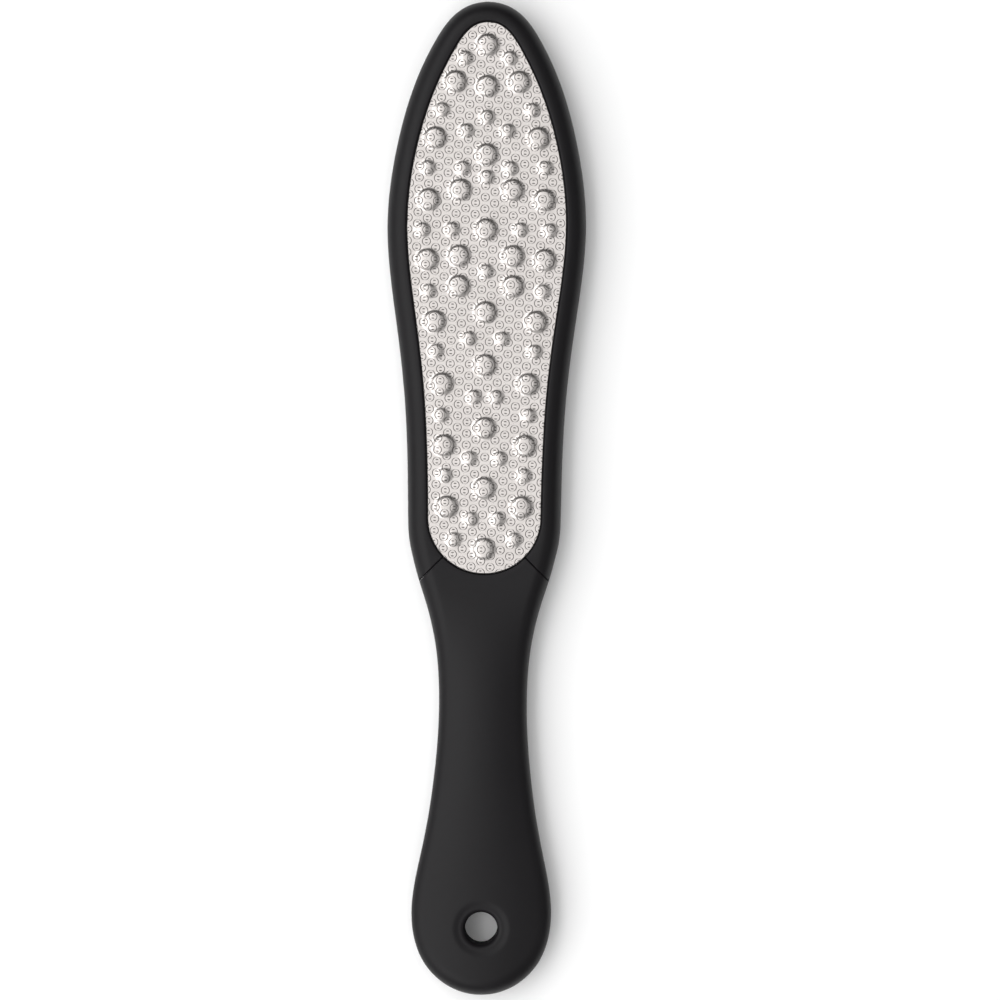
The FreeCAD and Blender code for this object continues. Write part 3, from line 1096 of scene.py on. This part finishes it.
@dataclass
class HandleShell:
    """One moulded half of the handle, with half of the hang hole."""

    form: ToolForm
    relief: BodyRelief
    face: Face
    parting: float = 0.06
    round_rows: int = 14
    crown_step: float = 0.9
    seam_rows: tuple[float, ...] = (0.05, 0.1, 0.15)
    hole_segments: int = 96
    bore_edge: float = 0.3
    arc_points: int = 40
    seam_points: int = 22
    dish_rows: int = 9
    dish_skirt: float = 0.8
    grid_half_width: float = 20.0
    grid_past_head_end: float = 10.0
    edge_clear: float = 0.4
    lip_clear: float = 0.7
    hole_clear: float = 9.2
    seam_clear: float = 0.8

    def loops(self) -> list[np.ndarray]:
        """The handle's area in plan: from the seams round the butt, and the hang hole.

        Returns:
            The outer loop and the hole.
        """
        form = self.form
        side = form.side()
        first, crossing = form.cut_at_seam(side)
        angles = np.linspace(-math.pi / 2.0, -math.pi / 4.0, self.arc_points)
        arc = form.end_arc(form.plate_end_radius + form.plate_gap, angles)
        arc[0, 0] = 0.0
        seam = between(arc[-1], crossing, self.seam_points)
        right = np.vstack([arc, seam, crossing, side[first:]])
        return [closed_loop(right), circle(form.hole_centre, form.hole_radius, self.hole_segments)]

    def height(self, points: np.ndarray) -> np.ndarray:
        """Height of the outer face over the plan.

        Args:
            points: places in plan, shape (n, 2).

        Returns:
            Heights in millimetres, shape (n,).
        """
        relief = self.relief
        land = relief.moulded(points) - relief.lip_drop(points)
        land -= relief.seam_drop(self.form.seam_distance(points))
        return land - relief.hole_drop(points)

    def _crown_points(self) -> np.ndarray:
        """Evenly scattered points over the crown, away from the edges and the hole.

        Returns:
            The points, shape (n, 2).
        """
        form = self.form
        x = np.arange(-self.grid_half_width, self.grid_half_width, self.crown_step)
        y = np.arange(-form.tip_y, form.head_end_y + self.grid_past_head_end, self.crown_step)
        grid = np.stack(np.meshgrid(x, y), axis=-1)
        grid[1::2, :, 0] += self.crown_step / 2.0
        points = grid.reshape(-1, 2)
        edge_gap, _ = self.relief.edge.query(points)
        lip_gap, _ = self.relief.recess.query(points)
        hole = np.linalg.norm(points - form.hole_centre, axis=1)
        clear = (edge_gap > form.edge_round + self.edge_clear) & (lip_gap > self.lip_clear)
        clear &= (hole > self.hole_clear) & (form.seam_distance(points) > self.seam_clear)
        return points[clear]

    def build(self, finish: bpy.types.Material) -> bpy.types.Object:
        """Makes and dresses the shell.

        Args:
            finish: the plastic.

        Returns:
            The piece.
        """
        form, relief = self.form, self.relief
        lines = edge_rows(form, self.round_rows) + lip_rows(form, relief)
        rows = [form.hole_radius + relief.mouth_round * (1.0 - math.sin(angle))
                for angle in np.linspace(math.pi / 2.0, 0.0, self.dish_rows)[1:]]
        mouth = form.hole_radius + relief.mouth_round
        rows += list(np.linspace(mouth, relief.dish_radius, self.dish_rows)[1:])
        rows.append(relief.dish_radius + self.dish_skirt)
        lines += [circle(form.hole_centre, radius, self.hole_segments) for radius in rows]
        for gap in self.seam_rows:
            lines += seam_lines(form, gap)
        middle = form.thickness / 2.0
        solid = PlanSolid(
            loops=self.loops(),
            top=self.height,
            bottom=lambda points: np.full(len(points), middle + self.parting),
            lines=lines,
            loose=[self._crown_points()],
            mirror_z=form.thickness if self.face is Face.REAR else None,
            plain_bottom=True,
        )
        piece = solid.build(f"handle_{self.face.value}_half")
        self._mark_bore(piece)
        finish_surface(piece)
        dress(piece, finish)
        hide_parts(f"handle_{self.face.value}_shell")
        return piece

    def _mark_bore(self, piece: bpy.types.Object) -> None:
        """Stores where the hang hole's bare wall is, for the finish.

        Args:
            piece: the piece to change.
        """
        points = point_places(piece)[:, :2]
        away = np.linalg.norm(points - self.form.hole_centre, axis=1)
        store_shares(piece, BARE, (away < self.form.hole_radius + self.bore_edge).astype(float))


@dataclass(frozen=True)
class RingPattern:
    """Lattice of etched rings, with or without a pair of small marks in each."""

    column_pitch: float
    row_pitch: float
    radius: float
    half_width: float
    depth: float
    segments: int
    turn: float = 0.0
    anchor: tuple[float, float] = (0.0, 0.0)
    marks: bool = False
    opening: float = 0.7
    mark_offset: float = 0.45
    mark_half_length: float = 0.46
    mark_half_height: float = 0.22
    mark_bow: float = 0.08
    mark_depth: float = 0.07
    mark_gain: float = 2.4
    opening_slope: float = 4.0
    mark_points: int = 8
    spine_points: int = 3

    def _turned(self, points: np.ndarray, angle: float) -> np.ndarray:
        """Points turned about the origin."""
        matrix = np.array([[math.cos(angle), math.sin(angle)], [-math.sin(angle), math.cos(angle)]])
        return points @ matrix

    def sites(self, form: ToolForm) -> np.ndarray:
        """Centres of all rings that could reach the plate.

        Args:
            form: the tool's sizes.

        Returns:
            The centres, shape (n, 2).
        """
        reach = int(form.tip_y * 2.0 / self.column_pitch)
        columns = np.arange(-reach, reach + 1)
        rows = np.arange(-reach, reach + 1)
        grid = np.stack(np.meshgrid(columns, rows, indexing="ij"), axis=-1).reshape(-1, 2)
        shift = (grid[:, 0] % 2) * self.row_pitch / 2.0
        local = np.column_stack([grid[:, 0] * self.column_pitch, grid[:, 1] * self.row_pitch + shift])
        return self._turned(local, self.turn) + np.array(self.anchor)

    def local(self, points: np.ndarray) -> np.ndarray:
        """Places measured from the nearest ring's centre.

        Args:
            points: places in plan, shape (n, 2).

        Returns:
            The places in the lattice's own directions, shape (n, 2).
        """
        flat = self._turned(points - np.array(self.anchor), -self.turn)
        column = np.round(flat[:, 0] / self.column_pitch)
        shift = (column % 2) * self.row_pitch / 2.0
        row = np.round((flat[:, 1] - shift) / self.row_pitch)
        return flat - np.column_stack([column * self.column_pitch, row * self.row_pitch + shift])

    def _mark_share(self, local: np.ndarray) -> np.ndarray:
        """Depth share of the two small marks.

        Args:
            local: places measured from a ring's centre.

        Returns:
            One share for each place.
        """
        x = local[:, 0] / self.mark_half_length
        bowed = np.abs(local[:, 1]) - self.mark_offset + self.mark_bow * x**2
        away = np.sqrt(x**2 + (bowed / self.mark_half_height) ** 2)
        return np.clip((1.0 - away) * self.mark_gain, 0.0, 1.0)

    def shares(self, points: np.ndarray) -> tuple[np.ndarray, np.ndarray]:
        """How deep the ring groove and the marks are, as shares of their depths.

        Args:
            points: places in plan, shape (n, 2).

        Returns:
            Shares of the ring and of the marks, one for each place.
        """
        local = self.local(points)
        radius = np.linalg.norm(local, axis=1)
        ring = np.clip(1.0 - np.abs(radius - self.radius) / self.half_width, 0.0, 1.0)
        aside = np.abs(local[:, 0]) / self.radius
        ring *= 1.0 - self.opening * (1.0 - smooth_step(aside * self.opening_slope - 1.0))
        mark = self._mark_share(local) if self.marks else np.zeros(len(points))
        return ring, mark

    def lines(self, form: ToolForm, reach: NearestOnLoop) -> tuple[list[np.ndarray], list[np.ndarray]]:
        """Closed lines and loose points that carry the pattern.

        Args:
            form: the tool's sizes.
            reach: the plate's outline.

        Returns:
            Closed lines, and loose points.
        """
        sites = self.sites(form)
        near, _ = reach.query(sites)
        sites = sites[inside(sites, [reach.loop]) | (near < self.radius)]
        loops, loose = [], []
        angles = np.linspace(0.0, math.tau, self.mark_points + 1)[:-1]
        lens = np.column_stack([np.cos(angles), np.sin(angles)])
        lens *= (self.mark_half_length, self.mark_half_height)
        spine = np.zeros((self.spine_points, 2))
        spine[:, 0] = np.linspace(-0.5, 0.5, self.spine_points) * self.mark_half_length
        for site in sites:
            for step in (-1.0, 0.0, 1.0):
                loops.append(circle(site, self.radius + step * self.half_width, self.segments))
            if not self.marks:
                continue
            for sign in (-1.0, 1.0):
                for part, store in ((lens, loops), (spine, loose)):
                    bow = self.mark_bow * (part[:, 0] / self.mark_half_length) ** 2
                    spots = np.column_stack([part[:, 0], sign * (self.mark_offset - bow) + part[:, 1]])
                    store.append(self._turned(spots, self.turn) + site)
        return loops, loose


@dataclass
class FilePlate:
    """Etched steel plate; the coarse one has domes pressed out of it."""

    form: ToolForm
    face: Face
    pattern: RingPattern
    surface_z: float
    thickness: float = 0.5
    edge_bevel: float = 0.1
    flank_width: float = 0.24
    crown_share: float = 0.18
    crown_reach: float = 1.3
    dome_shift: Share = (-0.2, 0.1)
    crown_rows: tuple[float, ...] = (0.0, 0.2, 0.4, 0.6, 0.8)
    flank_rows: tuple[float, ...] = (
        -3.6, -2.7, -2.0, -1.5, -1.1, -0.7, -0.35, 0.0, 0.35, 0.7, 1.1, 1.5, 2.0, 2.7, 3.6)
    dome_segments: int = 40
    slope_step: float = 0.02
    cut_limit: float = 0.001
    dome_foot: float = 1.8
    bevel_slope: float = 0.8
    line_clear: float = 1.4
    sharp_angle: float = 13.0
    outline_samples: int = 300
    large: tuple[Share, ...] = ()
    small: tuple[Share, ...] = ()
    outline: NearestOnLoop = field(init=False)

    def __post_init__(self) -> None:
        """Prepares the plate's outline."""
        side = self.form.plate_side(self.form.rim_width, self.outline_samples)
        self.outline = NearestOnLoop(closed_loop(side))

    def domes(self) -> list[tuple[np.ndarray, Dome]]:
        """Places and sizes of the domes, with a twin for each one off the middle line.

        Returns:
            Pairs of a place and a size.
        """
        form = self.form
        top = form.tip_y - form.rim_width - form.tip_rim_extra
        length = top - (form.arc_centre_y - form.plate_end_radius)
        width = form.head_half_width - form.rim_width
        found = []
        for table, size in ((self.large, Dome.LARGE), (self.small, Dome.SMALL)):
            for along, across in table:
                place = np.array([width * across, top - length * along])
                found.append((place + self.dome_shift, size))
                if across > 0.0:
                    found.append((flip_across(place) + self.dome_shift, size))
        return found

    def dome_rise(self, points: np.ndarray) -> np.ndarray:
        """Height of the domes above the sheet: a low crown, a steep flank and a soft foot.

        Args:
            points: places in plan, shape (n, 2).

        Returns:
            Heights in millimetres, shape (n,).
        """
        rise = np.zeros(len(points))
        for place, size in self.domes():
            radius, height = size.value
            away = np.linalg.norm(points - place, axis=1)
            near = away < radius * self.dome_foot
            flank = 1.0 / (1.0 + np.exp((away[near] - radius) / self.flank_width))
            reach = np.clip(away[near] / (radius * self.crown_reach), 0.0, 1.0)
            crown = 0.5 + 0.5 * np.cos(math.pi * reach)
            rise[near] += height * (flank + self.crown_share * (crown - flank))
        return rise

    def height(self, points: np.ndarray) -> np.ndarray:
        """Height of the plate's worked face over the plan.

        Args:
            points: places in plan, shape (n, 2).

        Returns:
            Heights in millimetres, shape (n,).
        """
        ring, mark = self.pattern.shares(points)
        gap, _ = self.outline.query(points)
        bevel = np.clip(self.edge_bevel - gap, 0.0, None) * self.bevel_slope
        cut = self.pattern.depth * ring + self.pattern.mark_depth * mark + bevel
        return self.surface_z + self.dome_rise(points) - cut

    def _dome_points(self) -> list[np.ndarray]:
        """Loose points over the domes, clear of the etched lines.

        Returns:
            Arrays of points, one for each row.
        """
        clouds = []
        for place, size in self.domes():
            radius = size.value[0]
            inner = radius + self.flank_rows[0] * self.flank_width
            rows = [inner * share for share in self.crown_rows]
            rows += [radius + step * self.flank_width for step in self.flank_rows]
            for row in rows:
                spots = circle(place, row, self.dome_segments if row else 1)
                ring, mark = self.pattern.shares(spots)
                away = np.linalg.norm(self.pattern.local(spots), axis=1)
                clear = np.abs(away - self.pattern.radius) > self.pattern.half_width * self.line_clear
                clouds.append(spots[clear & (mark == 0.0)])
        return clouds

    def build(self, finish: bpy.types.Material) -> bpy.types.Object:
        """Makes and dresses the plate.

        Args:
            finish: the steel.

        Returns:
            The piece.
        """
        form = self.form
        loops, loose = self.pattern.lines(form, self.outline)
        bevel = form.plate_side(form.rim_width + self.edge_bevel, self.outline_samples)
        low_z = self.surface_z - self.thickness
        solid = PlanSolid(
            loops=[self.outline.loop],
            top=self.height,
            bottom=lambda points: np.full(len(points), low_z),
            lines=loops + [closed_loop(bevel)],
            loose=loose + self._dome_points(),
            mirror_z=form.thickness if self.face is Face.REAR else None,
            plain_bottom=True,
        )
        piece = solid.build(f"{self.face.value}_etched_plate")
        self._mark_depths(piece)
        finish_surface(piece, self.sharp_angle)
        self._smooth_sheet(piece)
        dress(piece, finish)
        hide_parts(f"{self.face.value}_file_plate")
        return piece

    def _smooth_sheet(self, piece: bpy.types.Object) -> None:
        """Gives the faces between the etched lines the sheet's own smooth normals.

        Args:
            piece: the piece to change.
        """
        mesh = piece.data
        places = point_places(piece)
        front = self.face is Face.FRONT
        height = places[:, 2] if front else self.form.thickness - places[:, 2]
        plan = places[:, :2]
        cut = height < self.surface_z + self.dome_rise(plan) - self.cut_limit
        normals = np.ones((len(plan), 3))
        for axis in range(2):
            step = np.zeros(2)
            step[axis] = self.slope_step
            rise = self.dome_rise(plan + step) - self.dome_rise(plan - step)
            normals[:, axis] = -rise / (2.0 * self.slope_step)
        normals /= np.linalg.norm(normals, axis=1)[:, None]
        normals[:, 2] *= 1.0 if front else -1.0
        corners = np.zeros(len(mesh.loops), int)
        mesh.loops.foreach_get("vertex_index", corners)
        sizes = np.zeros(len(mesh.polygons), int)
        mesh.polygons.foreach_get("loop_total", sizes)
        faces = np.repeat(np.arange(len(sizes)), sizes)
        etched = np.zeros(len(sizes), bool)
        np.logical_or.at(etched, faces, cut[corners])
        shown = np.zeros(len(corners) * 3)
        mesh.corner_normals.foreach_get("vector", shown)
        shown = shown.reshape(-1, 3)
        smooth = ~etched[faces]
        shown[smooth] = normals[corners[smooth]]
        mesh.normals_split_custom_set(shown.tolist())

    def _mark_depths(self, piece: bpy.types.Object) -> None:
        """Stores how deep the etching is at each point, for the finish, which paints shade into the
        grooves by it.
        """
        ring, mark = self.pattern.shares(point_places(piece)[:, :2])
        store_shares(piece, ETCH, np.maximum(ring, mark))


@dataclass(frozen=True)
class SoftBox:
    """A flat studio lamp of a given brightness, swung out across and along the tool."""

    name: str
    across: float
    along: float
    width: float
    length: float
    radiance: float
    distance: float = 1.6

    def build(self) -> bpy.types.Object:
        """Makes the lamp, aimed at the tool.

        Returns:
            The lamp's object.
        """
        lamp = bpy.data.lights.new(self.name, "AREA")
        lamp.shape = "RECTANGLE"
        lamp.size, lamp.size_y = self.width, self.length
        lamp.energy = self.radiance * math.pi * self.width * self.length
        piece = place_object(self.name, lamp)
        swing = Matrix.Rotation(math.radians(self.across), 4, "Y")
        swing = swing @ Matrix.Rotation(math.radians(-self.along), 4, "X")
        piece.matrix_world = swing @ Matrix.Translation((0.0, 0.0, self.distance))
        return piece


@dataclass
class Studio:
    """Camera, lamps, world and white ground."""

    form: ToolForm
    camera_height: float = 1.17
    outline_z: float = 0.0065
    frame_pixels: int = 1000
    tool_pixels: float = 992.6
    tool_left_of_centre: float = 15.4
    tool_above_centre: float = 1.75
    roll: float = 0.4618
    sensor: float = 36.0
    clip_start: float = 0.05
    world: float = 0.11
    ground_size: float = 3.0
    lamps: tuple[SoftBox, ...] = (
        SoftBox("overhead_panel", -6.5, 2.0, 1.25, 4.5, 1.28),
        SoftBox("left_key", -37.0, -4.0, 1.27, 3.3, 2.1),
        SoftBox("left_strip", -66.0, -8.0, 0.65, 2.2, 1.6),
        SoftBox("near_fill", 0.0, -64.0, 2.0, 0.8, 0.6),
        SoftBox("right_fill", 46.0, 0.0, 1.05, 2.4, 0.6),
    )

    def camera(self) -> bpy.types.Object:
        """Makes the camera, straight above the tool with the photograph's small roll.

        Returns:
            The camera's object.
        """
        span = 2.0 * self.form.tip_y * MM
        pixel = span / self.tool_pixels
        view = bpy.data.cameras.new("studio_camera")
        view.sensor_width = self.sensor
        view.lens = self.sensor * self.camera_height / (pixel * self.frame_pixels)
        view.clip_start = self.clip_start
        turn = math.radians(self.roll)
        right = Vector((math.cos(turn), math.sin(turn), 0.0))
        up = Vector((-math.sin(turn), math.cos(turn), 0.0))
        place = right * self.tool_left_of_centre * pixel - up * self.tool_above_centre * pixel
        place.z = self.outline_z + self.camera_height
        piece = place_object("studio_camera", view)
        piece.location = place
        piece.rotation_euler = (0.0, 0.0, turn)
        bpy.context.scene.camera = piece
        return piece

    def ground(self, low_z: float) -> bpy.types.Object:
        """Makes the floor under the tool.

        Args:
            low_z: height of the tool's lowest point.

        Returns:
            The floor's object.
        """
        half = self.ground_size / 2.0
        mesh = bpy.data.meshes.new("ground")
        turns = ((-half, -half), (half, -half), (half, half), (-half, half))
        corners = [(x, y, low_z) for x, y in turns]
        mesh.from_pydata(corners, [], [(0, 1, 2, 3)])
        mesh.materials.append(WhiteGround().build())
        piece = place_object("ground", mesh)
        piece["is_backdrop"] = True
        return piece

    def build(self, low_z: float) -> None:
        """Makes the whole studio.

        Args:
            low_z: height of the tool's lowest point.
        """
        self.camera()
        self.ground(low_z)
        for lamp in self.lamps:
            lamp.build()
        world = bpy.data.worlds.new("studio_world")
        world.use_nodes = True
        recipe = Recipe(world.node_tree)
        light = recipe.node("Background", Color=colour(1.0, 1.0, 1.0), Strength=self.world)
        recipe.node("OutputWorld", Surface=light)
        bpy.context.scene.world = world
        bpy.context.scene.view_settings.view_transform = "Standard"


def dress_pads(finish: bpy.types.Material) -> None:
    """Gives the two adhesive sheets of the solids their finish.

    Args:
        finish: the material.
    """
    for node in ("front_adhesive_pad", "rear_adhesive_pad"):
        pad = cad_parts[node]
        pad.data.materials.clear()
        pad.data.materials.append(finish)
        log.info("dressed %s", node)


COARSE_RINGS = RingPattern(
    column_pitch=2.486, row_pitch=3.011, radius=1.07, half_width=0.16, depth=0.05, segments=20,
    turn=math.radians(-1.76), anchor=(-0.47, 75.48), marks=True)
FINE_RINGS = RingPattern(
    column_pitch=1.72, row_pitch=2.0, radius=0.6, half_width=0.11, depth=0.08, segments=12,
    opening=0.0)
LARGE_DOMES: tuple[Share, ...] = (
    (0.042, 0.00), (0.109, 0.40), (0.117, 0.00), (0.211, 0.65), (0.241, 0.00), (0.305, 0.33),
    (0.323, 0.73), (0.377, 0.00), (0.425, 0.34), (0.432, 0.74), (0.480, 0.34), (0.527, 0.00),
    (0.544, 0.64), (0.623, 0.00), (0.657, 0.54), (0.737, 0.00), (0.769, 0.51), (0.846, 0.00),
    (0.880, 0.47), (0.956, 0.00))
SMALL_DOMES: tuple[Share, ...] = (
    (0.066, 0.28), (0.160, 0.57), (0.173, 0.00), (0.198, 0.26), (0.265, 0.74), (0.266, 0.30),
    (0.282, 0.00), (0.377, 0.43), (0.378, 0.80), (0.453, 0.00), (0.489, 0.72), (0.575, 0.21),
    (0.598, 0.62), (0.681, 0.14), (0.714, 0.55), (0.792, 0.19), (0.823, 0.50), (0.902, 0.17),
    (0.939, 0.38))


def main() -> None:
    """Builds the foot file and its studio in order."""
    logging.basicConfig(level=logging.INFO, format="%(name)s: %(message)s")
    solids_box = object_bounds()
    form = ToolForm()
    relief = BodyRelief(form)
    plastic, steel = SoftTouchPlastic().build(), EtchedSteel().build()
    pieces = [
        HeadFrame(form, relief).build(plastic),
        HandleShell(form, relief, Face.FRONT).build(plastic),
        HandleShell(form, relief, Face.REAR).build(plastic),
        FilePlate(form, Face.FRONT, COARSE_RINGS, form.front_plate_z,
                  large=LARGE_DOMES, small=SMALL_DOMES).build(steel),
        FilePlate(form, Face.REAR, FINE_RINGS, form.thickness).build(steel),
    ]
    for piece in pieces:
        log.info("built %s: %d faces", piece.name, len(piece.data.polygons))
    dress_pads(AdhesiveSheet().build())
    Studio(form).build(solids_box[0][2])


if __name__ == "__main__":
    main()
